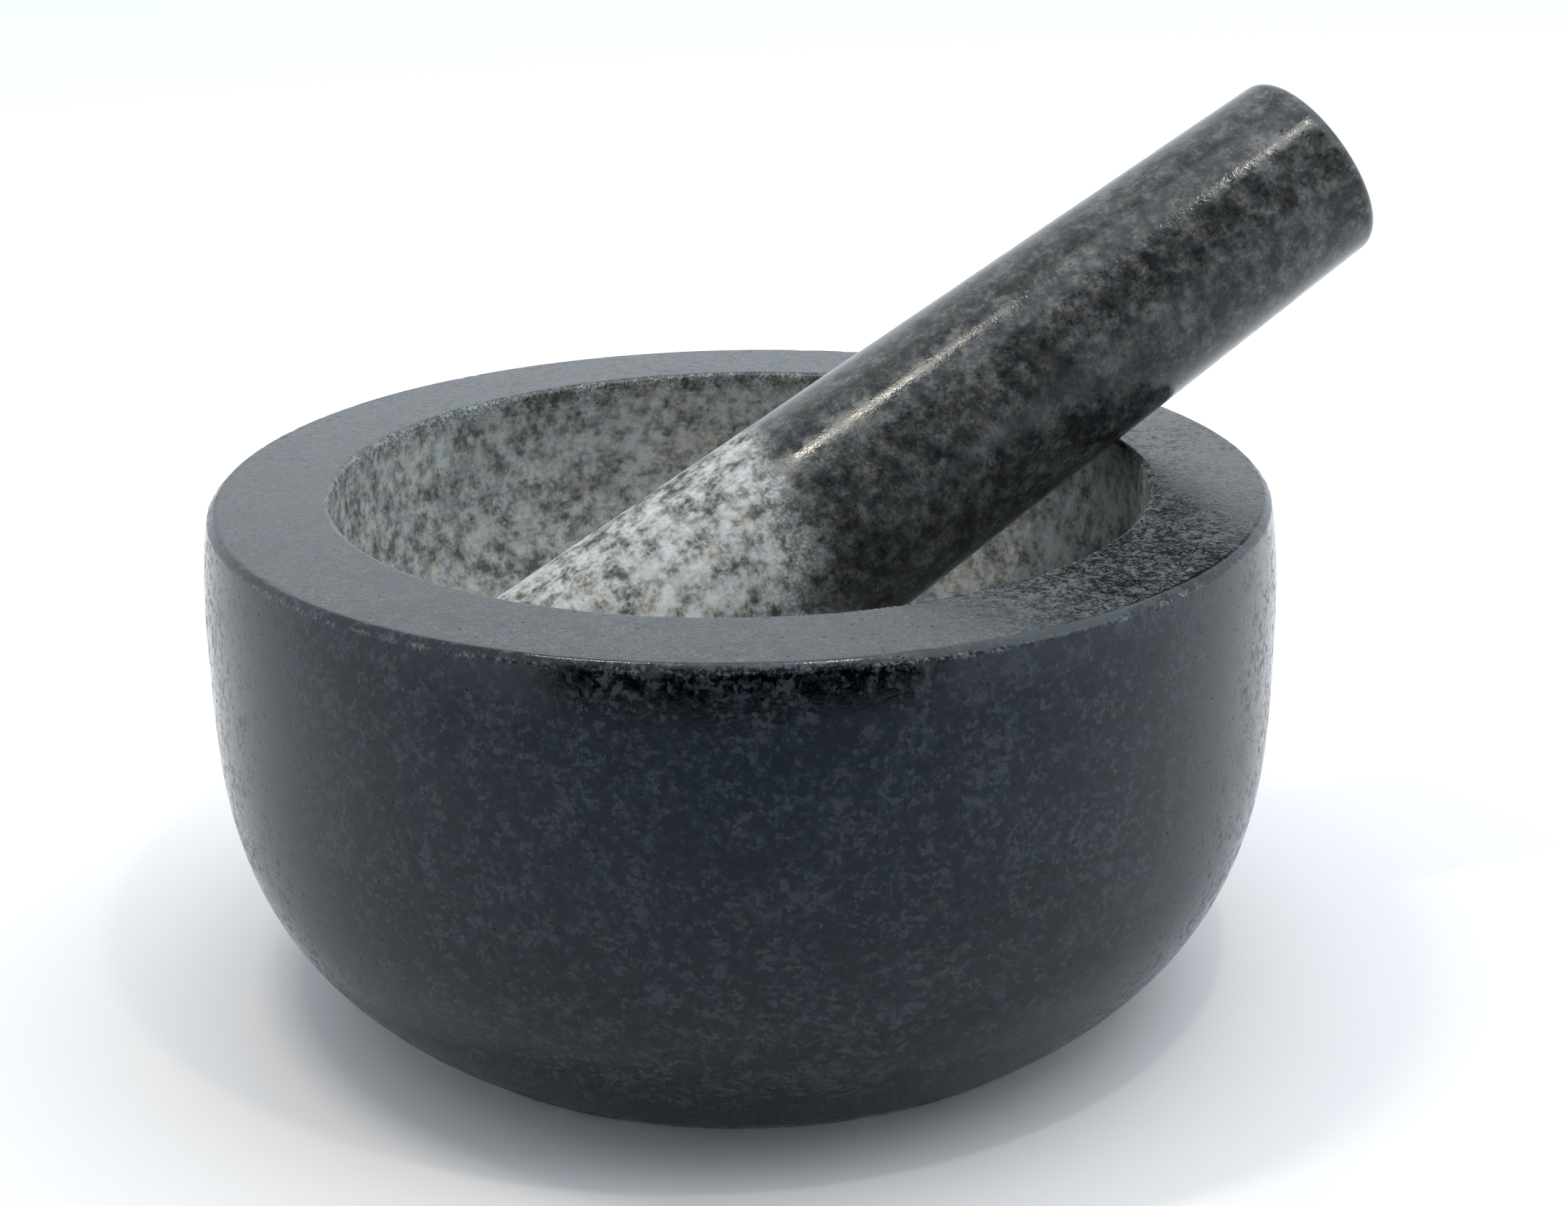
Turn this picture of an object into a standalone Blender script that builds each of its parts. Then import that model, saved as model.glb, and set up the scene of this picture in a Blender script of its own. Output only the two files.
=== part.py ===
"""Granite mortar with its pestle leaning in it.

Two turned stones. The mortar stands on z = 0, with the centre of its flat
underside at the origin. The pestle lies in the XZ plane, propped on the inner
edge of the rim at +X, with its working end down in the bowl at -X.
Metres, +Z up.
"""

import math

import bmesh
import bpy

# Mortar
RIM_RADIUS = 0.080
HEIGHT = 0.078
BELLY_RADIUS = 0.0815
BELLY_HEIGHT = 0.054
FOOT_SWEEP = 0.0695
MOUTH_RADIUS = 0.062
BOWL_DEPTH = 0.058
OUTER_BEVEL = 0.00125
INNER_ROUND = 0.0010
FOOT_ROUND = 0.0006

# Pestle
PESTLE_LENGTH = 0.1634
HANDLE_END_RADIUS = 0.01565
TAPER = 0.031
HANDLE_EDGE_ROUND = 0.0023
HANDLE_CROWN = 0.0008
WORKING_DOME = 0.014
PESTLE_LEAN = math.radians(90 - 30.7)
HANDLE_END_X = 0.09854
HANDLE_END_Z = 0.1196

# Fineness of the turned surfaces
MORTAR_STEPS = 72
PESTLE_STEPS = 48
MERGE_DISTANCE = 1e-6


def clear_scene():
    for old in list(bpy.data.objects):
        bpy.data.objects.remove(old, do_unlink=True)


def spaced(first, last, count):
    """count values from first to last, both included."""
    return [first + (last - first) * i / (count - 1) for i in range(count)]


def arc(centre_r, centre_z, radius_r, radius_z, start, end, count):
    """Points of an elliptical arc, by its angle in degrees: 0 points outwards and 90 upwards."""
    angles = [math.radians(a) for a in spaced(start, end, count)]
    return [
        (centre_r + radius_r * math.cos(a), centre_z + radius_z * math.sin(a))
        for a in angles
    ]


def bowl_wall():
    """The hollow, from the middle of its floor up to the rim's inner edge.

    Its depth goes with sin(turn)**0.77 and its radius with cos(turn)**0.95, so the
    floor is a shallow dish and the wall stands upright under the rim.
    """
    top = HEIGHT - INNER_ROUND
    depth = BOWL_DEPTH - INNER_ROUND
    points = [(0.0, top - depth)]
    for turn in spaced(88.0, 0.0, 15):
        a = math.radians(turn)
        radius = MOUTH_RADIUS * math.cos(a) ** 0.95
        points.append((radius, top - depth * math.sin(a) ** 0.77))
    return points


def outer_wall():
    """The outside, from under the rim's bevel down to the foot.

    Above the belly it draws in a little with the cube of the height. Below it the
    radius falls as the square root of one minus the cube of the drop.
    """
    rim_base = HEIGHT - OUTER_BEVEL
    points = []
    for z in spaced(rim_base, BELLY_HEIGHT, 6)[1:]:
        rise = (z - BELLY_HEIGHT) / (rim_base - BELLY_HEIGHT)
        points.append((BELLY_RADIUS - (BELLY_RADIUS - RIM_RADIUS) * rise**3, z))
    foot_turn = math.asin((BELLY_HEIGHT / FOOT_SWEEP) ** 1.5)
    for turn in spaced(0.0, foot_turn, 14)[1:-1]:
        drop = FOOT_SWEEP * math.sin(turn) ** (2 / 3)
        points.append((BELLY_RADIUS * math.cos(turn), BELLY_HEIGHT - drop))
    foot_radius = BELLY_RADIUS * math.cos(foot_turn)
    points.append((foot_radius, FOOT_ROUND))
    points.append((foot_radius - FOOT_ROUND, 0.0))
    return points


def mortar_profile():
    inner_edge = arc(
        MOUTH_RADIUS + INNER_ROUND, HEIGHT - INNER_ROUND, INNER_ROUND, INNER_ROUND, 180, 90, 4
    )
    outer_edge = arc(
        RIM_RADIUS - OUTER_BEVEL, HEIGHT - OUTER_BEVEL, OUTER_BEVEL, OUTER_BEVEL, 90, 0, 4
    )
    return bowl_wall() + inner_edge[1:] + outer_edge + outer_wall() + [(0.0, 0.0)]


def pestle_profile():
    """From the crown of the handle down to the tip of the domed working end."""
    shoulder = PESTLE_LENGTH - HANDLE_CROWN - HANDLE_EDGE_ROUND
    crown_radius = HANDLE_END_RADIUS - HANDLE_EDGE_ROUND
    crown = [
        (crown_radius * share, PESTLE_LENGTH - HANDLE_CROWN * share**2)
        for share in spaced(0.0, 1.0, 5)
    ]
    edge = arc(crown_radius, shoulder, HANDLE_EDGE_ROUND, HANDLE_EDGE_ROUND, 90, 0, 6)
    working_radius = HANDLE_END_RADIUS + TAPER * (shoulder - WORKING_DOME)
    dome = arc(0.0, WORKING_DOME, working_radius, WORKING_DOME, 0, -90, 11)
    sides = [
        (HANDLE_END_RADIUS + TAPER * (shoulder - z), z)
        for z in spaced(shoulder, WORKING_DOME, 8)[1:-1]
    ]
    return crown + edge[1:] + sides + dome[:-1] + [(0.0, 0.0)]


def granite(name, colour, roughness):
    material = bpy.data.materials.new(name)
    material.use_nodes = True
    shader = material.node_tree.nodes["Principled BSDF"]
    shader.inputs["Base Color"].default_value = (*colour, 1.0)
    shader.inputs["Roughness"].default_value = roughness
    shader.inputs["Metallic"].default_value = 0.0
    material.diffuse_color = (*colour, 1.0)
    return material


def turned(name, profile, steps, material):
    """A solid of revolution about its own Z axis, from a profile in its XZ plane."""
    mesh = bpy.data.meshes.new(name)
    outline = bmesh.new()
    corners = [outline.verts.new((r, 0.0, z)) for r, z in profile]
    for upper, lower in zip(corners, corners[1:]):
        outline.edges.new((upper, lower))
    outline.to_mesh(mesh)
    outline.free()
    mesh.materials.append(material)
    piece = bpy.data.objects.new(name, mesh)
    bpy.context.scene.collection.objects.link(piece)
    screw = piece.modifiers.new("Turn", "SCREW")
    screw.axis = "Z"
    screw.angle = math.tau
    screw.steps = steps
    screw.render_steps = steps
    screw.use_smooth_shade = True
    screw.use_merge_vertices = True
    screw.merge_threshold = MERGE_DISTANCE
    return piece


def make_mortar():
    stone = granite("mortar_granite", (0.045, 0.053, 0.068), 0.3)
    return turned("mortar", mortar_profile(), MORTAR_STEPS, stone)


def make_pestle():
    """The pestle's origin is the tip of its working end."""
    stone = granite("pestle_granite", (0.075, 0.078, 0.075), 0.3)
    pestle = turned("pestle", pestle_profile(), PESTLE_STEPS, stone)
    tip_x = HANDLE_END_X - PESTLE_LENGTH * math.sin(PESTLE_LEAN)
    tip_z = HANDLE_END_Z - PESTLE_LENGTH * math.cos(PESTLE_LEAN)
    pestle.location = (tip_x, 0.0, tip_z)
    pestle.rotation_euler = (0.0, PESTLE_LEAN, 0.0)
    return pestle


clear_scene()
make_mortar()
make_pestle()
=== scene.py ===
# %% [markdown]
# # A granite mortar and its pestle
#
# Two stones, both turned on a lathe: a squat bowl with a thick flat rim, and a
# stout pestle leaning in it. The outside and the rim are polished, so the stone
# looks dark and deep. The hollow and the pestle's working end are ground rough,
# so the same stone looks pale and chalky. This file builds both surfaces with
# numpy, gives them one granite in two finishes, and sets up a plain studio.
#
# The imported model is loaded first. It fixes where each stone is and how big it
# is, and the pieces made here have to fit inside its box.

# %% Load the frame
import math

import bpy
import numpy as np
from mathutils import Matrix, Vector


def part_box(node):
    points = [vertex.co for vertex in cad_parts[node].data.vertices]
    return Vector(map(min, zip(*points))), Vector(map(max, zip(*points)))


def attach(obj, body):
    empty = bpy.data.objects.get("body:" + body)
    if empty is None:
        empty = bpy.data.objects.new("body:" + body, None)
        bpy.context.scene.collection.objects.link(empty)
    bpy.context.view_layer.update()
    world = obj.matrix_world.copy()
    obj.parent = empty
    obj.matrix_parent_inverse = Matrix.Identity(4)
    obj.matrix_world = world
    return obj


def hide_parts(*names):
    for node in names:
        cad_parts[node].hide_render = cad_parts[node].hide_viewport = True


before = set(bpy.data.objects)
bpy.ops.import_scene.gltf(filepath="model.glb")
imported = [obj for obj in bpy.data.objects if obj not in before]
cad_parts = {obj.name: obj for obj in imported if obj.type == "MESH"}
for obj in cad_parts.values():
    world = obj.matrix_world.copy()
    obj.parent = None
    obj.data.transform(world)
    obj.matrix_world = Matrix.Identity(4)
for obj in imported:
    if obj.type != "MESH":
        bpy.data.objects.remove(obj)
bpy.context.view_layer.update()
MM = 0.001

# %% [markdown]
# ## Lathe profiles
#
# A turned stone is fully described by the curve that the tool follows, as
# (radius, height) pairs. Reading the real thing from the inside out, the mortar
# is a dished hollow, a small rounded inner edge, a flat rim, a narrow bevel, a
# wall that bulges slightly and sweeps in to the foot, and a flat underside.
#
# A stack of Blender primitives or a Screw modifier could make it too. Working
# the curve out as arrays keeps every point's finish next to its place: here
# each stretch of the profile also says how much it is ground and how close it
# is to an arris, and the material reads those numbers later.

# %% The mortar's sizes
RIM_RADIUS = 80 * MM
HEIGHT = 78 * MM
BELLY_RADIUS = 81.5 * MM
BELLY_HEIGHT = 54 * MM
FOOT_SWEEP = 69.5 * MM
MOUTH_RADIUS = 62 * MM
BOWL_DEPTH = 58 * MM
BEVEL = 0.95 * MM
INNER_ROUND = 1.0 * MM
FOOT_ROUND = 0.6 * MM

low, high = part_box("mortar")
print(f"packed mortar: {high.z / MM:.2f} mm high, {(high.x - low.x) / MM:.2f} mm at its widest")


# %% Stretches of a profile
def arc(centre_r, centre_z, radius, start, end, count):
    """A quarter or less of a circle. Angles in degrees, 0 outwards and 90 upwards."""
    a = np.radians(np.linspace(start, end, count))
    return np.column_stack([centre_r + radius * np.cos(a), centre_z + radius * np.sin(a)])


def bowl_wall(count):
    """From near the middle of the floor to the rim: radius goes with cos(turn)**0.95
    and depth with sin(turn)**0.77, a shallow dish whose wall ends upright."""
    top = HEIGHT - INNER_ROUND
    turn = np.radians(89.3 * np.linspace(1, 0, count) ** 1.8)
    radius = MOUTH_RADIUS * np.cos(turn) ** 0.95
    return np.column_stack([radius, top - (BOWL_DEPTH - INNER_ROUND) * np.sin(turn) ** 0.77])


def outer_wall(upper_count, lower_count):
    """Above the belly the wall draws in with the cube of the rise. Below it, radius is
    the belly times cos(turn) while the drop goes with sin(turn)**(2/3)."""
    base = HEIGHT - BEVEL
    z = base - (base - BELLY_HEIGHT) * np.linspace(0.13, 1, upper_count) ** 1.5
    rise = (z - BELLY_HEIGHT) / (base - BELLY_HEIGHT)
    upper = np.column_stack([BELLY_RADIUS - (BELLY_RADIUS - RIM_RADIUS) * rise**3, z])
    drop = np.linspace(0, BELLY_HEIGHT - FOOT_ROUND, lower_count)
    turn = np.arcsin((drop / FOOT_SWEEP) ** 1.5)
    lower = np.column_stack([BELLY_RADIUS * np.cos(turn), BELLY_HEIGHT - drop])
    return np.vstack([upper, lower[1:]])


def bevelled_edge(count):
    """The rim's outer edge: a 45 degree flat between two softened arrises. `s` runs from
    before the flat (below 0) to beyond it (above 1)."""
    step, wall_slope = 0.45 * MM, 0.19
    s = np.linspace(-1.2, 2.2, count)[:, None]
    start = np.array([RIM_RADIUS - BEVEL, HEIGHT])
    run = start + BEVEL * np.clip(s, 0, 1) * np.array([1.0, -1.0])
    run = run + np.minimum(s, 0) * step * np.array([1.0, 0.0])
    run = run + np.maximum(s - 1, 0) * step * np.array([wall_slope, -1.0])
    for _ in range(2):
        softened = 0.25 * run[:-2] + 0.5 * run[1:-1] + 0.25 * run[2:]
        run = np.vstack([run[:1], softened, run[-1:]])
    return run


# %% [markdown]
# ## Noise from scratch
#
# Stone is never perfectly regular, and neither is hand polishing. The shapes
# below borrow their irregularity from value noise: a random number at each
# corner of a 3-D grid, blended smoothly between the corners. Several grids of
# halving cell size added together give the rough look of a broken edge. It is
# seeded by arithmetic on the corner's whole-number position, so the same stone
# comes out on every run.


# %% Value noise
def corner_value(i, j, k, seed):
    """A repeatable random number from 0 to 1 for each grid corner, by integer hashing."""
    n = (i * 73856093) ^ (j * 19349663) ^ (k * 83492791) ^ (seed * 2654435761)
    n = (n ^ (n >> 13)) * 1274126177
    n = (n ^ (n >> 16)) & 0xFFFFFF
    return n / 0xFFFFFF


def value_noise(points, cell, seed):
    """-1 to 1: corner values blended by s = 3f^2 - 2f^3 along each axis."""
    q = points / cell
    base = np.floor(q).astype(np.int64)
    f = q - base
    s = f * f * (3 - 2 * f)
    total = np.zeros(len(points))
    for corner in range(8):
        d = np.array([corner & 1, corner >> 1 & 1, corner >> 2 & 1])
        weight = np.prod(np.where(d, s, 1 - s), axis=1)
        i, j, k = (base + d).T
        total += weight * corner_value(i, j, k, seed)
    return 2 * total - 1


def rough_noise(points, cell, seed, octaves=3):
    """Octaves of value noise, each half the size and half the height of the last."""
    layers = [value_noise(points, cell / 2**n, seed + n) / 2**n for n in range(octaves)]
    return sum(layers) / (2 - 0.5 ** (octaves - 1))


# %% [markdown]
# ## From profile to mesh
#
# Turning a profile is a grid with two parameters: the row says how far along
# the profile, the column says how far round. The grid is closed round the axis
# by wrapping its last column to its first, and at each end a fan of triangles
# runs to a single point on the axis, so the result is watertight. Three numbers
# go with every point as attributes: `ground` (0 polished, 1 ground rough; on the
# pestle it is also cut on the lower side, which paints shade there),
# `edge` (1 on an arris, where the stone chips) and `lathe`, a point on the unit
# circle plus the distance along the profile, for marks that run round the piece.


# %% Surface builder
def smooth_step(x):
    """0 below 0, 1 above 1, and an S-shaped curve between."""
    x = np.clip(x, 0, 1)
    return x * x * (3 - 2 * x)


def turned_grid(profile, columns):
    """Points, outward normals and lathe coordinates of a profile turned about Z,
    each as rows x columns x 3."""
    tangent = np.gradient(profile, axis=0)
    tangent /= np.linalg.norm(tangent, axis=1)[:, None]
    around = np.linspace(0, math.tau, columns, endpoint=False)
    c, s = np.cos(around)[None, :], np.sin(around)[None, :]
    r, z = profile[:, :1], profile[:, 1:]
    flat = np.ones_like(c)
    points = np.stack([r * c, r * s, z * flat], axis=-1)
    out_r, out_z = -tangent[:, 1:], tangent[:, :1]
    normals = np.stack([out_r * c, out_r * s, out_z * flat], axis=-1)
    along = np.r_[0, np.cumsum(np.linalg.norm(np.diff(profile, axis=0), axis=1))]
    one = np.ones_like(r)
    lathe = np.stack([one * c, one * s, along[:, None] * flat], axis=-1)
    return points, normals, lathe


def closed_surface(name, grid, first_pole, last_pole, attributes):
    """A mesh object: quads between neighbouring rows, wrapped round, and a fan to each pole."""
    rows, columns = grid.shape[:2]
    points = np.vstack([grid.reshape(-1, 3), first_pole, last_pole])
    index = np.arange(rows * columns).reshape(rows, columns)
    right = np.roll(index, -1, axis=1)
    quads = np.stack([index[:-1], index[1:], right[1:], right[:-1]], axis=-1).reshape(-1, 4)
    first = np.full(columns, rows * columns)
    fans = [
        np.column_stack([first, index[0], right[0]]),
        np.column_stack([first + 1, right[-1], index[-1]]),
    ]
    triangles = np.vstack(fans)
    corners = np.r_[quads.ravel(), triangles.ravel()].astype(np.int32)
    sizes = np.r_[np.full(len(quads), 4), np.full(len(triangles), 3)]
    starts = np.r_[0, np.cumsum(sizes)[:-1]].astype(np.int32)
    mesh = bpy.data.meshes.new(name)
    mesh.vertices.add(len(points))
    mesh.vertices.foreach_set("co", points.astype(np.float32).ravel())
    mesh.loops.add(len(corners))
    mesh.loops.foreach_set("vertex_index", corners)
    mesh.polygons.add(len(sizes))
    mesh.polygons.foreach_set("loop_start", starts)
    mesh.update(calc_edges=True)
    mesh.validate()
    mesh.shade_smooth()
    for key, values in attributes.items():
        kind = "FLOAT_VECTOR" if values.ndim == 3 else "FLOAT"
        flat = values.reshape(rows * columns, -1)
        flat = np.vstack([flat, flat[:1], flat[-1:]]).astype(np.float32)
        layer = mesh.attributes.new(key, kind, "POINT")
        layer.data.foreach_set("vector" if kind == "FLOAT_VECTOR" else "value", flat.ravel())
    piece = bpy.data.objects.new(name, mesh)
    bpy.context.scene.collection.objects.link(piece)
    print(name, "triangles:", 2 * len(quads) + len(triangles))
    return piece


# %% [markdown]
# ## The mortar's profile
#
# The stretches are joined up from the middle of the hollow, over the rim and
# down the wall, to the middle of the underside. The rim's rows crowd together
# at both of its edges, because smooth shading needs short rows beside a bend.

# %% Mortar profile
RIM_ROWS = 17
EDGE_MARGIN = 0.7 * MM
UNDERSIDE_HOLE = 6 * MM

bowl = bowl_wall(64)
inner_edge = arc(MOUTH_RADIUS + INNER_ROUND, HEIGHT - INNER_ROUND, INNER_ROUND, 180, 90, 6)
rim_inside = MOUTH_RADIUS + INNER_ROUND
rim_outside = RIM_RADIUS - BEVEL - EDGE_MARGIN
across = (1 - np.cos(np.linspace(0, np.pi, RIM_ROWS))) / 2
rim_radii = rim_inside + (rim_outside - rim_inside) * across
rim = np.column_stack([rim_radii, np.full(RIM_ROWS, HEIGHT)])
bevel = bevelled_edge(17)
wall = outer_wall(24, 50)
foot_radius = wall[-1, 0]
under_radii = np.linspace(foot_radius - FOOT_ROUND, UNDERSIDE_HOLE, 8)
under = np.column_stack([under_radii, np.zeros(8)])
mortar_profile = np.vstack([bowl, inner_edge[1:], rim[1:], bevel, wall, under])
print("mortar profile points:", len(mortar_profile))
print("foot radius:", round(foot_radius / MM, 1), "mm")

# %% [markdown]
# ## How each row is finished
#
# The wall is polished all over, which is a `ground` of 0. The rim is honed, so
# a little of the bare stone shows. The hollow is ground rough, less so in the
# top five millimetres below the rim, which come out darker. `arris` says how
# near a row is to an edge, because edges are where stone chips.


# %% Mortar finish
RIM_GRINDING = 0.085
UNDERSIDE_GRINDING = 0.8
UPPER_HOLLOW_BAND = 5 * MM


def near(profile, spot, reach):
    """1 at a point of the profile, falling to 0 at the given distance from it."""
    away = np.linalg.norm(profile - np.array(spot), axis=1)
    return smooth_step(1 - away / reach)


inner_arris = near(mortar_profile, (MOUTH_RADIUS + 0.3 * MM, HEIGHT - 0.3 * MM), 1.3 * MM)
upper_arris = near(mortar_profile, (RIM_RADIUS - BEVEL, HEIGHT), 0.7 * MM)
lower_arris = near(mortar_profile, (RIM_RADIUS, HEIGHT - BEVEL), 0.9 * MM)
foot_arris = near(mortar_profile, (foot_radius, 0), 2.0 * MM)
arris = np.max([0.25 * inner_arris, 0.5 * upper_arris, lower_arris, foot_arris], axis=0)[:, None]

fall = (HEIGHT - bowl[:, 1]) / UPPER_HOLLOW_BAND
first_rim = len(bowl) + len(inner_edge) - 1
ground_rows = np.zeros(len(mortar_profile))
# Less of the pale ground finish in the top five millimetres of the hollow, so that band comes out
# darker.
ground_rows[: len(bowl)] = 0.64 + 0.36 * smooth_step(fall)
ground_rows[len(bowl) : first_rim] = np.linspace(0.5, 0.10, first_rim - len(bowl))
ground_rows[first_rim : first_rim + len(rim) - 1] = RIM_GRINDING
ground_rows[-len(under) - 1 :] = UNDERSIDE_GRINDING
print("rows ground rough:", int((ground_rows > 0.5).sum()), "of", len(ground_rows))

# %% [markdown]
# ## The mortar
#
# The profile is turned into a fine grid, then pushed inwards a little where
# real stone is worn: shallow waves of a few hundredths of a millimetre from
# hand polishing, a rougher skin inside the bowl, and small chips along the
# outer bevel, where every knock against a worktop lands. Pushing inwards only
# keeps the stone within its true size.

# %% Mortar surface
MORTAR_COLUMNS = 512
POLISHING_WAVE = 0.03 * MM
HOLLOW_SKIN = 0.14 * MM
CHIP_DEPTH = 0.22 * MM

points, normals, lathe = turned_grid(mortar_profile, MORTAR_COLUMNS)
places = points.reshape(-1, 3)
shape = points.shape[:2]
waves = 0.5 + 0.5 * rough_noise(places, 18 * MM, 11, 2).reshape(shape)
skin = 0.5 + 0.5 * rough_noise(places, 3.2 * MM, 21, 2).reshape(shape)
breaks = rough_noise(places, 2.0 * MM, 31, 3).reshape(shape)
chips = smooth_step((breaks - 0.2) / 0.4) * arris * CHIP_DEPTH
in_hollow = np.arange(len(mortar_profile)) < len(bowl)
hollow = (ground_rows * in_hollow)[:, None]
depth = POLISHING_WAVE * waves + HOLLOW_SKIN * skin * hollow + chips
depth[-len(under) :] = 0.0
mortar_points = points - normals * depth[..., None]

mortar = closed_surface(
    "mortar_stone",
    mortar_points,
    [[0.0, 0.0, mortar_points[0, :, 2].mean()]],
    [[0.0, 0.0, 0.0]],
    {
        "ground": np.repeat(ground_rows[:, None], MORTAR_COLUMNS, axis=1),
        "edge": np.clip(arris * (0.6 + 0.9 * breaks), 0, 1),
        "lathe": lathe,
    },
)
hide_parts("mortar")
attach(mortar, "mortar")
print("deepest chip:", round(float(chips.max()) / MM, 3), "mm")

# %% [markdown]
# ## Where the pestle lies
#
# The pestle is a round bar that grows a little thicker towards its working end.
# It could be posed by typing angles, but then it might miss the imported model.
# So its place is read from that model's own points: the longest direction of
# the cloud of points, found by a singular value decomposition, is the pestle's
# axis, and the lowest point along that axis is its tip.

# %% Where the pestle lies
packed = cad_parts["pestle"].data
cad_points = np.empty(3 * len(packed.vertices), np.float32)
packed.vertices.foreach_get("co", cad_points)
cad_points = cad_points.reshape(-1, 3).astype(float)
_, _, directions = np.linalg.svd(cad_points - cad_points.mean(axis=0), full_matrices=False)
axis = directions[0] * np.sign(directions[0][2])
axis[1] = 0.0
axis /= np.linalg.norm(axis)
reach = cad_points @ axis
tip = cad_points[reach.argmin()]
side = np.array([0.0, 1.0, 0.0])
front = np.cross(side, axis)
print("pestle lean:", round(math.degrees(math.asin(axis[2])), 2), "degrees above level")
print("pestle length:", round(float(np.ptp(reach)) / MM, 2), "mm")


def placed(local_points):
    """Local (x, y, z) laid along the pestle's front, side and long axis, from its tip."""
    return tip + local_points @ np.stack([front, side, axis])


# %% [markdown]
# ## The pestle's profile
#
# From the top: a crowned end, which rises with the square of the distance from
# the rim of the crown, a rounded edge that sits well in the palm, a straight
# taper and an elliptical dome that does the work.

# %% Pestle profile
PESTLE_LENGTH = 163.4 * MM
HANDLE_RADIUS = 15.65 * MM
TAPER = 0.031
HANDLE_EDGE = 2.3 * MM
CROWN = 0.8 * MM
DOME = 14 * MM

shoulder = PESTLE_LENGTH - CROWN - HANDLE_EDGE
crown_radius = HANDLE_RADIUS - HANDLE_EDGE
share = np.linspace(0.06, 1, 16)
crown = np.column_stack([crown_radius * share, PESTLE_LENGTH - CROWN * share**2])
handle_edge = arc(crown_radius, shoulder, HANDLE_EDGE, 90, 0, 14)
heights = np.linspace(shoulder, DOME, 220)
shank = np.column_stack([HANDLE_RADIUS + TAPER * (shoulder - heights), heights])
working_radius = shank[-1, 0]
turn = np.radians(np.linspace(0, -88, 44))
dome = np.column_stack([working_radius * np.cos(turn), DOME + DOME * np.sin(turn)])
pestle_profile = np.vstack([crown, handle_edge[1:], shank[1:], dome[1:]])
print("working end:", round(2 * working_radius / MM, 1), "mm across")

# %% [markdown]
# ## The pestle
#
# The polish ends about a third of the way up, but not on a clean ring. Use has
# worn it further up on top of the leaning pestle than underneath, and the
# border is ragged. `below` is 1 on the lower side and -1 on the upper side, so
# a single formula moves the border and widens it. A second one thins the pale
# ground finish on the lower side, which is painted shade: the underside of the
# working end comes out darker.

# %% Pestle surface
PESTLE_COLUMNS = 288
GROUND_LENGTH = 53 * MM
WORKING_SKIN = 0.11 * MM

points, normals, lathe = turned_grid(pestle_profile, PESTLE_COLUMNS)
places = points.reshape(-1, 3)
shape = points.shape[:2]
waves = 0.5 + 0.5 * rough_noise(places, 16 * MM, 41, 2).reshape(shape)
skin = 0.5 + 0.5 * rough_noise(places, 2.4 * MM, 51, 3).reshape(shape)
ragged = rough_noise(places, 5 * MM, 61, 3).reshape(shape)
height_up = pestle_profile[:, 1:]
below = lathe[:, :, 0]
border = GROUND_LENGTH - 8.5 * MM * below
fade = (20 + 13 * below) * MM
ground = smooth_step(0.5 + (border - height_up) / fade + 0.3 * ragged)
# Painted shade: less of the pale ground finish on the lower side, so the underside of the working
# end comes out darker.
ground = ground * (1 - 0.45 * smooth_step((below + 0.5) / 1.4))
handle_arris = near(pestle_profile, (HANDLE_RADIUS, shoulder), 4 * MM)[:, None]
depth = POLISHING_WAVE * waves + WORKING_SKIN * skin * ground
local = points - normals * depth[..., None]

pestle = closed_surface(
    "pestle_stone",
    placed(local),
    placed(np.array([[0.0, 0.0, PESTLE_LENGTH]])),
    placed(np.array([[0.0, 0.0, 0.1 * MM]])),
    {
        "ground": ground,
        "edge": 0.25 * handle_arris * (1 + ragged),
        "lathe": lathe,
    },
)
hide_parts("pestle")
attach(pestle, "pestle")

# %% [markdown]
# ## Shader nodes in few words
#
# A stone needs a few dozen nodes, and placing them by hand takes four lines
# each. This small class adds a node, sets or links its inputs and hands back
# the socket that the next node needs, so that a formula reads as a formula.


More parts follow.
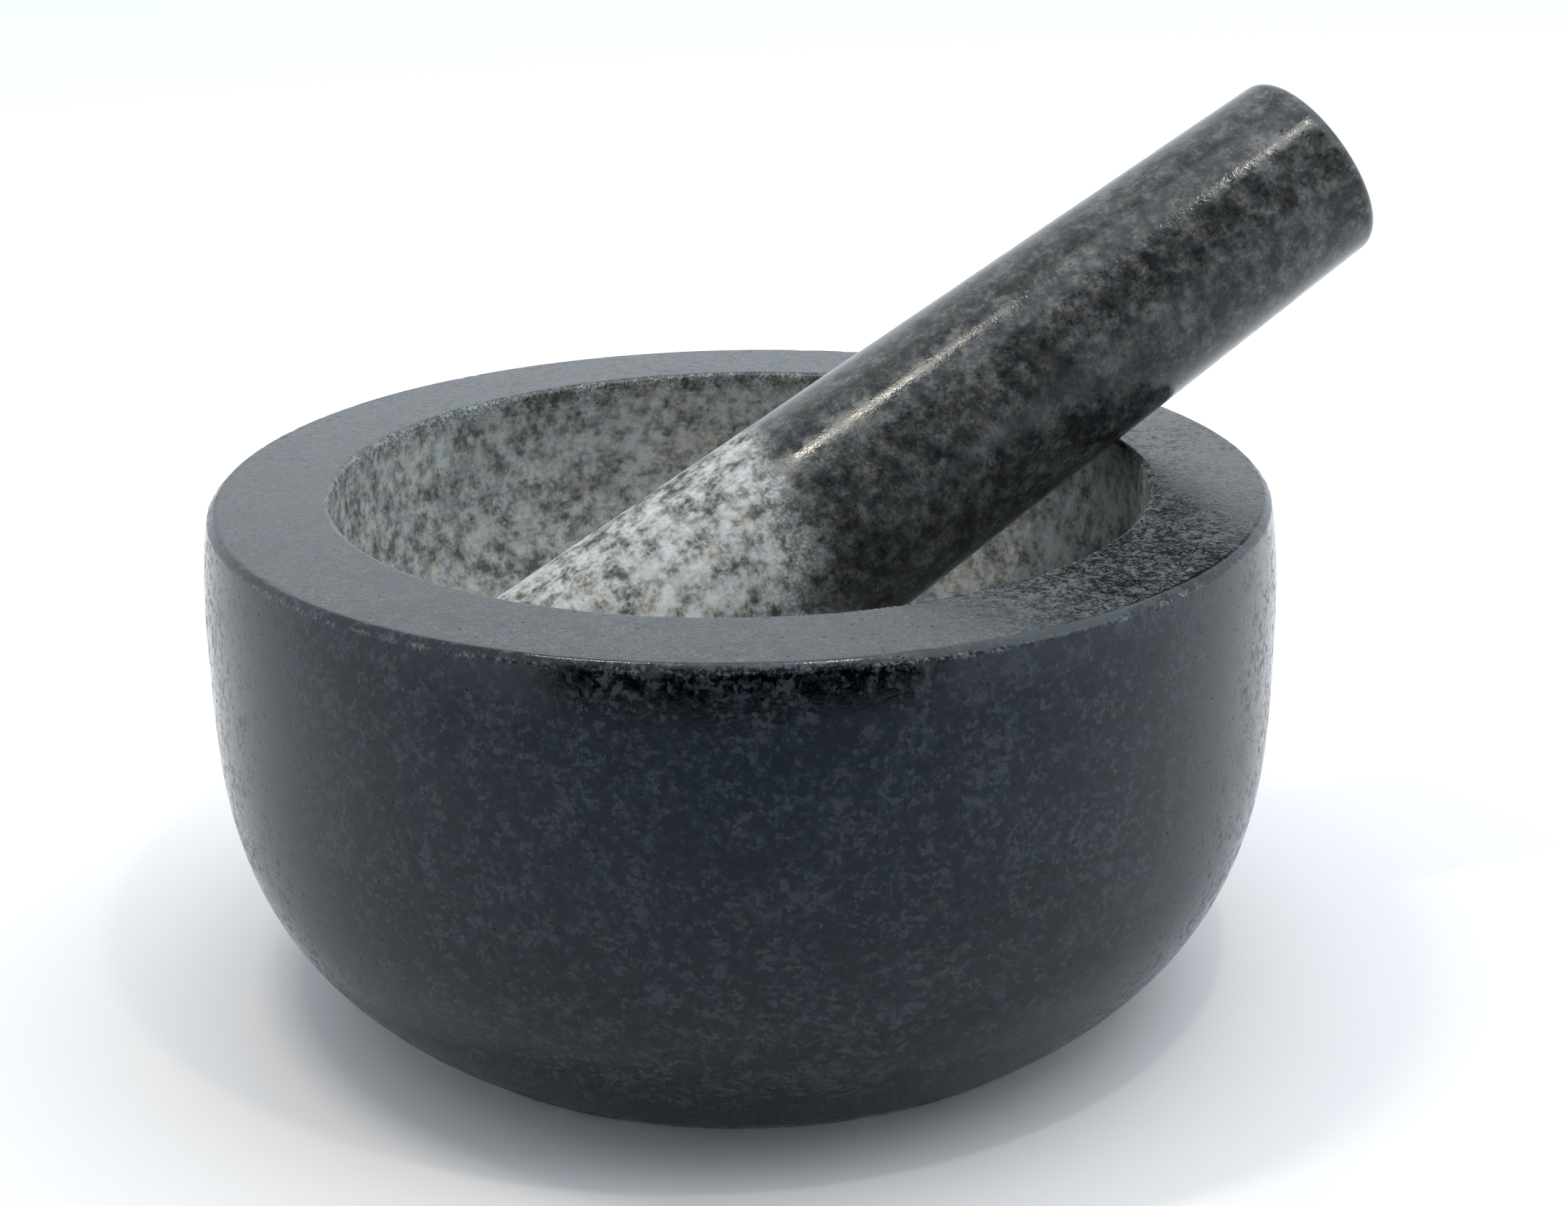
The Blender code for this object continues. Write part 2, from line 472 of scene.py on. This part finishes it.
# %% Node helpers
class Nodes:
    """A short way to add nodes and join them."""

    def __init__(self, material):
        material.use_nodes = True
        self.tree = material.node_tree
        self.tree.nodes.clear()

    def add(self, kind, inputs=None, **settings):
        """A node of a kind. An input is linked if it is a socket, else set to the value."""
        node = self.tree.nodes.new(kind)
        for key, value in settings.items():
            setattr(node, key, value)
        for key, value in (inputs or {}).items():
            socket = node.inputs[key]
            if isinstance(value, bpy.types.NodeSocket):
                self.tree.links.new(value, socket)
            else:
                socket.default_value = value
        return node

    def math(self, operation, a, b=0.0, c=0.0, clamp=False):
        """One sum. MULTIPLY_ADD is a times b, plus c."""
        node = self.add("ShaderNodeMath", {0: a, 1: b, 2: c}, operation=operation)
        node.use_clamp = clamp
        return node.outputs[0]

    def mix(self, share, a, b, blend="MIX"):
        """Colour a with the given share of b laid over it."""
        node = self.add("ShaderNodeMix", data_type="RGBA", blend_type=blend)
        sockets = [s for s in node.inputs if s.type == "RGBA"]
        for socket, value in ((node.inputs[0], share), (sockets[0], a), (sockets[1], b)):
            if isinstance(value, bpy.types.NodeSocket):
                self.tree.links.new(value, socket)
            else:
                socket.default_value = value
        return [s for s in node.outputs if s.type == "RGBA"][0]

    def ramp(self, value, stops):
        """A colour ramp with the given (position, colour) stops, straight between them."""
        node = self.add("ShaderNodeValToRGB", {0: value})
        ramp = node.color_ramp
        while len(ramp.elements) < len(stops):
            ramp.elements.new(0.5)
        for element, (position, colour) in zip(ramp.elements, stops):
            element.position = position
            element.color = (*colour, 1.0)
        return node.outputs[0]

    def ramp_value(self, value, zero_at, one_at):
        """0 at one value, 1 at the other, straight between them and flat outside."""
        inputs = {0: value, 1: zero_at, 2: one_at, 3: 0.0, 4: 1.0}
        return self.add("ShaderNodeMapRange", inputs).outputs[0]

    def attribute(self, name):
        return self.add("ShaderNodeAttribute", attribute_name=name)


# %% [markdown]
# ## Granite
#
# Black granite is a tight mass of crystals, from half a millimetre to three
# millimetres: near-black ones, mid grey-blue ones and a few pale ones. A plain
# noise texture looks like cloud, because real crystals have corners. So three
# layers add up to how light the stone is: clouds 9 mm wide, blotches of 2.6 mm
# with much fine detail, and single crystals, which are Voronoi cells of 0.75 mm
# with a random value each. The cells are cut in coordinates that a noise has
# bent first, which makes their outlines ragged.

# %% Crystals
CLOUD, BLOTCH, CRYSTAL, SPECK = 9 * MM, 2.6 * MM, 0.75 * MM, 0.45 * MM
BEND_SIZE, BEND_REACH = 1.6 * MM, 1.3 * MM


def noise(nodes, place, size, detail, roughness=0.6):
    """Noise whose features are about the given size."""
    inputs = {"Vector": place, "Scale": 1 / size, "Detail": detail, "Roughness": roughness}
    return nodes.add("ShaderNodeTexNoise", inputs)


def crystals(nodes, place):
    """Three values: how light the stone is near a place, about 0 to 1, how much lighter
    the single crystal there is, -0.5 to 0.5, and the bent coordinates."""
    bend = noise(nodes, place, BEND_SIZE, 3.0).outputs["Color"]
    bent = nodes.add(
        "ShaderNodeVectorMath",
        {0: bend, 1: (BEND_REACH, BEND_REACH, BEND_REACH), 2: place},
        operation="MULTIPLY_ADD",
    ).outputs[0]
    cell = nodes.add("ShaderNodeTexVoronoi", {"Vector": bent, "Scale": 1 / CRYSTAL})
    grain = nodes.add("ShaderNodeSeparateColor", {0: cell.outputs["Color"]}).outputs[0]
    clouds = noise(nodes, place, CLOUD, 2.0).outputs[0]
    blotches = noise(nodes, place, BLOTCH, 5.0).outputs[0]
    value = nodes.math("MULTIPLY_ADD", clouds, 0.9, -0.85)
    value = nodes.math("MULTIPLY_ADD", blotches, 1.8, value)
    return value, nodes.math("SUBTRACT", grain, 0.5), bent


def spots(nodes, place, size, radius, share):
    """1 inside small round spots: one to each Voronoi cell of the given size, in the given
    share of the cells. The radius is a fraction of the cell."""
    cell = nodes.add("ShaderNodeTexVoronoi", {"Vector": place, "Scale": 1 / size})
    pick = nodes.add("ShaderNodeSeparateColor", {0: cell.outputs["Color"]}).outputs[1]
    inside = nodes.ramp_value(cell.outputs["Distance"], radius, 0.4 * radius)
    return nodes.math("MULTIPLY", inside, nodes.math("GREATER_THAN", pick, 1 - share))


# %% [markdown]
# ## Marks of the tools
#
# The wheel leaves faint rings. Noise read at the `lathe` coordinates, stretched
# far more along the profile than round it, gives streaks that follow the turned
# form. Where the polish is broken, bare pale stone shows: in the ground parts,
# in chips along the edges, and in small flecks that are scattered over both.


# %% Tool marks
RINGS = (9.0, 9.0, 1800.0)


def lathe_rings(nodes):
    """-0.5 to 0.5: noise stretched round the piece, 1800 rings to a metre of profile."""
    spread = nodes.add(
        "ShaderNodeVectorMath",
        {0: nodes.attribute("lathe").outputs["Vector"], 1: RINGS},
        operation="MULTIPLY",
    ).outputs[0]
    streak = nodes.add("ShaderNodeTexNoise", {"Vector": spread, "Scale": 1.0, "Detail": 2.0})
    return nodes.math("SUBTRACT", streak.outputs[0], 0.5)


def bare_stone(nodes, look, fine, bent):
    """0 to 1: how much bare stone shows. `ground`, broken up by fine noise but never below
    0.95 of its own square, or 0.32 in a chip, or up to 0.25 in a fleck."""
    ground = nodes.attribute("ground").outputs["Fac"]
    edge = nodes.attribute("edge").outputs["Fac"]
    patchy = nodes.math("MULTIPLY", ground, nodes.math("MULTIPLY_ADD", fine, look["ragged"], 1.0))
    least = nodes.math("MULTIPLY", nodes.math("MULTIPLY", ground, ground), 0.95)
    bare = nodes.math("MAXIMUM", patchy, least, clamp=True)
    chipped = nodes.ramp_value(nodes.math("MULTIPLY_ADD", fine, 2.4, edge), 0.5, 1.1)
    bare = nodes.math("MAXIMUM", bare, nodes.math("MULTIPLY", chipped, 0.32))
    fleck = spots(nodes, bent, 0.9 * MM, 0.26, 0.40)
    fleck_share = nodes.math("MINIMUM", nodes.math("MULTIPLY_ADD", ground, 2.4, 0.05), 0.25)
    return nodes.math("MAXIMUM", bare, nodes.math("MULTIPLY", fleck, fleck_share))


# %% [markdown]
# ## One stone, two finishes
#
# Polishing and grinding change how the same crystals look. A polished face lets
# light in, so it is dark and glossy. A ground face is covered in tiny fractures
# that scatter light, so it is pale and matte. So one lightness feeds two colour
# ramps, and the bare share mixes them and sets the roughness. Pale crystals take
# a slightly duller polish than black ones, and small pits stay dull and dark.
# A Bump node adds relief that is too fine for the mesh.


# %% Colour and relief
PIT_COLOUR = (0.002, 0.002, 0.002, 1.0)
BARE_ROUGHNESS = 0.88


def stone_colour(nodes, look, shade, pale_shade, bare, pit, bent):
    """The polished ramp, darkened in the pits, mixed with the ground ramp by the bare
    share. The tint warms or cools patches of 2.2 mm, twice where the stone is polished."""
    dark = nodes.mix(pit, nodes.ramp(shade, look["polished"]), PIT_COLOUR)
    pale = nodes.ramp(pale_shade, look["ground"])
    tint = nodes.ramp(noise(nodes, bent, 2.2 * MM, 3.0).outputs[0], look["tints"])
    colour = nodes.mix(bare, nodes.mix(1.0, dark, tint, "MULTIPLY"), pale)
    return nodes.mix(1.0, colour, tint, "MULTIPLY")


def stone_roughness(nodes, look, shade, bare, pit):
    """Polish gets duller with lightness, pits are at 0.8, and bare stone is at 0.88."""
    lighter = nodes.math("SUBTRACT", shade, 0.5)
    polish = nodes.math("MULTIPLY_ADD", lighter, look["dull"], look["gloss"])
    polish = nodes.math("MAXIMUM", polish, 0.06)
    rough = nodes.math("MAXIMUM", nodes.math("MULTIPLY", pit, 0.8), polish)
    blend = {0: bare, 1: 0.0, 2: 1.0, 3: rough, 4: BARE_ROUGHNESS}
    return nodes.add("ShaderNodeMapRange", blend).outputs[0]


def stone_relief(nodes, bare, pit, bent):
    """Bumps of 0.7 mm, nearly twice as high on bare stone as on polished, less the pits."""
    relief = noise(nodes, bent, 0.7 * MM, 3.0, 0.62).outputs[0]
    skin = nodes.math("MULTIPLY", relief, nodes.math("MULTIPLY_ADD", bare, 0.24, 0.28))
    height = nodes.math("MULTIPLY_ADD", pit, -0.5, skin)
    bump = {"Height": height, "Strength": 0.5, "Distance": 0.22 * MM}
    return nodes.add("ShaderNodeBump", bump).outputs[0]


# %% The granite material
def granite(name, look):
    """A Principled stone on Object coordinates, from the crystals, the tool marks and a
    look, which is a table of ramps and strengths."""
    material = bpy.data.materials.new(name)
    nodes = Nodes(material)
    place = nodes.add("ShaderNodeTexCoord").outputs["Object"]
    value, grain, bent = crystals(nodes, place)
    fine = nodes.math("SUBTRACT", noise(nodes, place, SPECK, 2.0).outputs[0], 0.5)
    streaked = nodes.math("MULTIPLY_ADD", lathe_rings(nodes), 0.30, value)
    shade = nodes.math("MULTIPLY_ADD", fine, look["fine"], streaked)
    shade = nodes.math("MULTIPLY_ADD", grain, look["grain"], shade)
    pale_shade = nodes.math("MULTIPLY_ADD", grain, 0.24, streaked)
    bare = bare_stone(nodes, look, fine, bent)
    pit = spots(nodes, bent, 1.5 * MM, 0.15, 0.5)
    shader = nodes.add(
        "ShaderNodeBsdfPrincipled",
        {
            "Base Color": stone_colour(nodes, look, shade, pale_shade, bare, pit, bent),
            "Roughness": stone_roughness(nodes, look, shade, bare, pit),
            "Normal": stone_relief(nodes, bare, pit, bent),
            "IOR": look["ior"],
            # Painted reflection: the Specular Tint gives the stone's reflections a blue cast.
            "Specular Tint": (*look["painted_reflection_tint"], 1.0),
        },
    )
    nodes.add("ShaderNodeOutputMaterial", {"Surface": shader.outputs[0]})
    print(name, "nodes:", len(nodes.tree.nodes))
    return material


# %% [markdown]
# ## The two looks
#
# Both stones come from the same kind of block, and the mortar's is blacker and
# bluer. Each ramp's colours are linear red, green and blue. `gloss` is the
# roughness of a mid-grey crystal, `dull` how much a pale one adds, `fine` and
# `grain` the strength of the specks and of the single crystals, and `ragged`
# how much the specks break up a border. The Specular Tint paints a blue cast
# into every reflection.

# %% The mortar's granite
MORTAR_LOOK = {
    "polished": [
        (0.20, (0.0004, 0.0007, 0.0012)),
        (0.48, (0.0044, 0.0060, 0.0088)),
        (0.68, (0.0100, 0.0130, 0.0172)),
        (0.96, (0.0300, 0.0350, 0.0410)),
    ],
    "ground": [
        (0.14, (0.090, 0.094, 0.086)),
        (0.44, (0.262, 0.273, 0.268)),
        (0.62, (0.372, 0.390, 0.390)),
        (0.88, (0.490, 0.512, 0.515)),
    ],
    "tints": [
        (0.38, (1.00, 0.93, 0.84)),
        (0.50, (0.98, 0.98, 0.97)),
        (0.62, (0.92, 0.97, 1.00)),
    ],
    # Painted reflection: a blue cast on every reflection of the mortar.
    "painted_reflection_tint": (0.80, 0.91, 1.0),
    "gloss": 0.17,
    "dull": 0.45,
    "ior": 1.5,
    "fine": 1.0,
    "grain": 0.80,
    "ragged": 10.0,
}
mortar.data.materials.append(granite("mortar_granite", MORTAR_LOOK))

# %% The pestle's granite
PESTLE_LOOK = {
    "polished": [
        (0.12, (0.0090, 0.0102, 0.0112)),
        (0.44, (0.0340, 0.0360, 0.0362)),
        (0.64, (0.0640, 0.0690, 0.0700)),
        (0.92, (0.1180, 0.1260, 0.1290)),
    ],
    "ground": [
        (0.14, (0.070, 0.074, 0.064)),
        (0.38, (0.245, 0.255, 0.250)),
        (0.58, (0.420, 0.437, 0.440)),
        (0.86, (0.570, 0.592, 0.602)),
    ],
    "tints": [
        (0.38, (1.00, 0.94, 0.86)),
        (0.50, (0.98, 0.99, 0.97)),
        (0.62, (0.95, 0.98, 1.00)),
    ],
    # Painted reflection: a blue cast on every reflection of the pestle.
    "painted_reflection_tint": (0.88, 0.95, 1.0),
    "gloss": 0.17,
    "dull": 0.30,
    "ior": 1.4,
    "fine": 0.5,
    "grain": 0.28,
    "ragged": 3.0,
}
pestle.data.materials.append(granite("pestle_granite", PESTLE_LOOK))

# %% [markdown]
# ## Camera
#
# A normal lens close to the stone, looking down at about twenty degrees. The
# pestle leans to the right and away, so the camera stands a little to the left
# of the plane that it leans in. The directions are built as vectors: forwards,
# then right across it, then a slight roll.

# %% Camera
LENS = 56.0
CAMERA_AWAY = 357.8 * MM
CAMERA_UP = 186.9 * MM
TURN = math.radians(-18.74)
PITCH = math.radians(19.94)
YAW = math.radians(1.03)
ROLL = math.radians(-0.68)


def swung(x, y, z=0.0):
    """A point given across, away from and above the camera's line, in the model's frame."""
    c, s = math.cos(TURN), math.sin(TURN)
    return np.array([x * c - y * s, x * s + y * c, z])


forwards = swung(math.sin(YAW), math.cos(YAW)) * math.cos(PITCH)
forwards[2] = -math.sin(PITCH)
right = swung(math.cos(YAW), -math.sin(YAW))
upwards = np.cross(right, forwards)
rolled_right = right * math.cos(ROLL) + upwards * math.sin(ROLL)
rolled_up = upwards * math.cos(ROLL) - right * math.sin(ROLL)
camera = bpy.data.objects.new("camera", bpy.data.cameras.new("camera"))
camera.data.lens = LENS
camera.data.sensor_width = 36.0
camera.data.clip_start = 0.01
pose = np.eye(4)
pose[:3, 0], pose[:3, 1], pose[:3, 2] = rolled_right, rolled_up, -forwards
pose[:3, 3] = swung(0.0, -CAMERA_AWAY, CAMERA_UP)
camera.matrix_world = Matrix(pose.tolist())
bpy.context.scene.collection.objects.link(camera)
bpy.context.scene.camera = camera
print("camera at (mm):", np.round(pose[:3, 3] / MM, 1))

# %% [markdown]
# ## Studio
#
# Polished stone is a dull mirror, so its look comes from what stands round it.
# Here that is a white floor, a pale sky and one big soft lamp, up and to the
# right. Three cloths stand in for the unlit side of the room. A black one hangs
# at the height of the rim, a wide grey one hangs above it, and a blue-grey one
# lies in front, where it shows only in reflections: it casts no shadow and lights
# nothing, so it is a painted reflection of the shaded floor in front. Their
# borders fade away, so that no hard line crosses the stone. Each is a plain
# rectangle: the fading is in the material, which mixes cloth with Transparent
# near its edges.


# %% Cards and cloth
def plain_material(name, colour, roughness):
    """A matte paper or paint."""
    material = bpy.data.materials.new(name)
    nodes = Nodes(material)
    shader = nodes.add(
        "ShaderNodeBsdfPrincipled",
        {"Base Color": (*colour, 1.0), "Roughness": roughness, "Specular IOR Level": 0.2},
    )
    nodes.add("ShaderNodeOutputMaterial", {"Surface": shader.outputs[0]})
    return material


def card(name, width, depth, material):
    """A flat rectangle in XY, centred on its own origin."""
    x, y = width / 2, depth / 2
    mesh = bpy.data.meshes.new(name)
    mesh.from_pydata([(-x, -y, 0), (x, -y, 0), (x, y, 0), (-x, y, 0)], [], [(0, 1, 2, 3)])
    mesh.materials.append(material)
    piece = bpy.data.objects.new(name, mesh)
    bpy.context.scene.collection.objects.link(piece)
    return piece


def soft_edged(name, colour, width, depth, soft_side, soft_low, soft_high):
    """Matte cloth for a card. It fades to nothing over soft borders, given in metres for
    both sides, the low edge and the high edge."""
    material = bpy.data.materials.new(name)
    nodes = Nodes(material)
    x, y = width / 2, depth / 2
    place = nodes.add("ShaderNodeTexCoord").outputs["Object"]
    axes = nodes.add("ShaderNodeSeparateXYZ", {0: place}).outputs
    side_part = nodes.ramp_value(nodes.math("ABSOLUTE", axes[0]), x, x - soft_side)
    low_part = nodes.ramp_value(axes[1], -y, soft_low - y)
    high_part = nodes.ramp_value(axes[1], y, y - soft_high)
    there = nodes.math("MULTIPLY", side_part, nodes.math("MULTIPLY", low_part, high_part))
    cloth = nodes.add("ShaderNodeBsdfDiffuse", {"Color": (*colour, 1.0)})
    gone = nodes.add("ShaderNodeBsdfTransparent")
    both = nodes.add("ShaderNodeMixShader", {0: there, 1: gone.outputs[0], 2: cloth.outputs[0]})
    nodes.add("ShaderNodeOutputMaterial", {"Surface": both.outputs[0]})
    return material


# %% Floor and cloths
BLACK = (0.010, 0.010, 0.012)
GREY = (0.20, 0.205, 0.215)
BLUE_GREY = (0.33, 0.38, 0.46)

floor = card("floor", 8.0, 8.0, plain_material("floor_paper", (0.87, 0.87, 0.88), 0.8))

hung = soft_edged("hung_cloth", BLACK, 0.66, 0.24, 0.10, 0.04, 0.04)
flag = card("flag", 0.66, 0.24, hung)
flag.location = swung(0.0, -0.40, 0.120)
wide = soft_edged("wide_cloth", GREY, 1.80, 1.20, 0.55, 0.10, 0.55)
wide_flag = card("wide_flag", 1.80, 1.20, wide)
wide_flag.location = swung(0.0, -0.43, 0.76)
for cloth in (flag, wide_flag):
    cloth.rotation_euler = (math.radians(90), 0.0, TURN)
    cloth.visible_camera = False

# Painted reflection: this sheet is seen only in reflections, where it stands in for the shaded
# floor in front.
laid = soft_edged("reflected_floor_shade", BLUE_GREY, 1.44, 0.64, 0.70, 0.10, 0.34)
mat = card("mat", 1.44, 0.64, laid)
mat.location = swung(0.0, -0.23, 0.001)
mat.rotation_euler = (0.0, 0.0, TURN)
mat.visible_camera = mat.visible_diffuse = mat.visible_shadow = False
print("cloths:", ", ".join(piece.name for piece in (flag, wide_flag, mat)))

# %% [markdown]
# ## Lamps and sky
#
# The sky is a flat pale blue-white, which fills every shadow. Two small warm
# lamps high up draw the thin bright lines on the handle and along the bevel:
# the smaller a lamp is, the sharper its line. The big one shapes the stones.

# %% Sky
SKY = (0.87, 0.94, 1.0)
SKY_STRENGTH = 1.17

world = bpy.data.worlds.new("sky")
world.use_nodes = True
background = world.node_tree.nodes["Background"]
background.inputs["Color"].default_value = (*SKY, 1.0)
background.inputs["Strength"].default_value = SKY_STRENGTH
bpy.context.scene.world = world
bpy.context.scene.view_settings.view_transform = "Standard"
print("sky strength:", SKY_STRENGTH)

# %% Lamps
WARM = (1.0, 0.88, 0.74)
COOL = (0.93, 0.97, 1.0)
MID_BOWL = np.array([0.0, 0.0, 0.06])


def lamp(name, spot, length, width, power, colour):
    """A rectangular lamp of a given power in watts, facing the middle of the bowl."""
    light = bpy.data.lights.new(name, "AREA")
    light.shape = "RECTANGLE"
    light.size, light.size_y = length, width
    light.energy = power
    light.color = colour
    back = -(MID_BOWL - spot)
    back /= np.linalg.norm(back)
    across_axis = np.cross([0.0, 1.0, 0.0], back)
    across_axis /= np.linalg.norm(across_axis)
    pose = np.eye(4)
    pose[:3, :4] = np.column_stack([across_axis, np.cross(back, across_axis), back, spot])
    holder = bpy.data.objects.new(name, light)
    holder.matrix_world = Matrix(pose.tolist())
    bpy.context.scene.collection.objects.link(holder)
    print(name, "at (mm):", np.round(spot / MM))


lamp("lamp_left", swung(-0.169, -0.04, 0.60), 0.13, 0.014, 0.75, WARM)
lamp("lamp_right", swung(0.12, -0.163, 0.63), 0.028, 0.018, 0.36, WARM)
lamp("overhead", swung(0.45, -0.13, 1.15), 1.5, 1.4, 9.0, COOL)
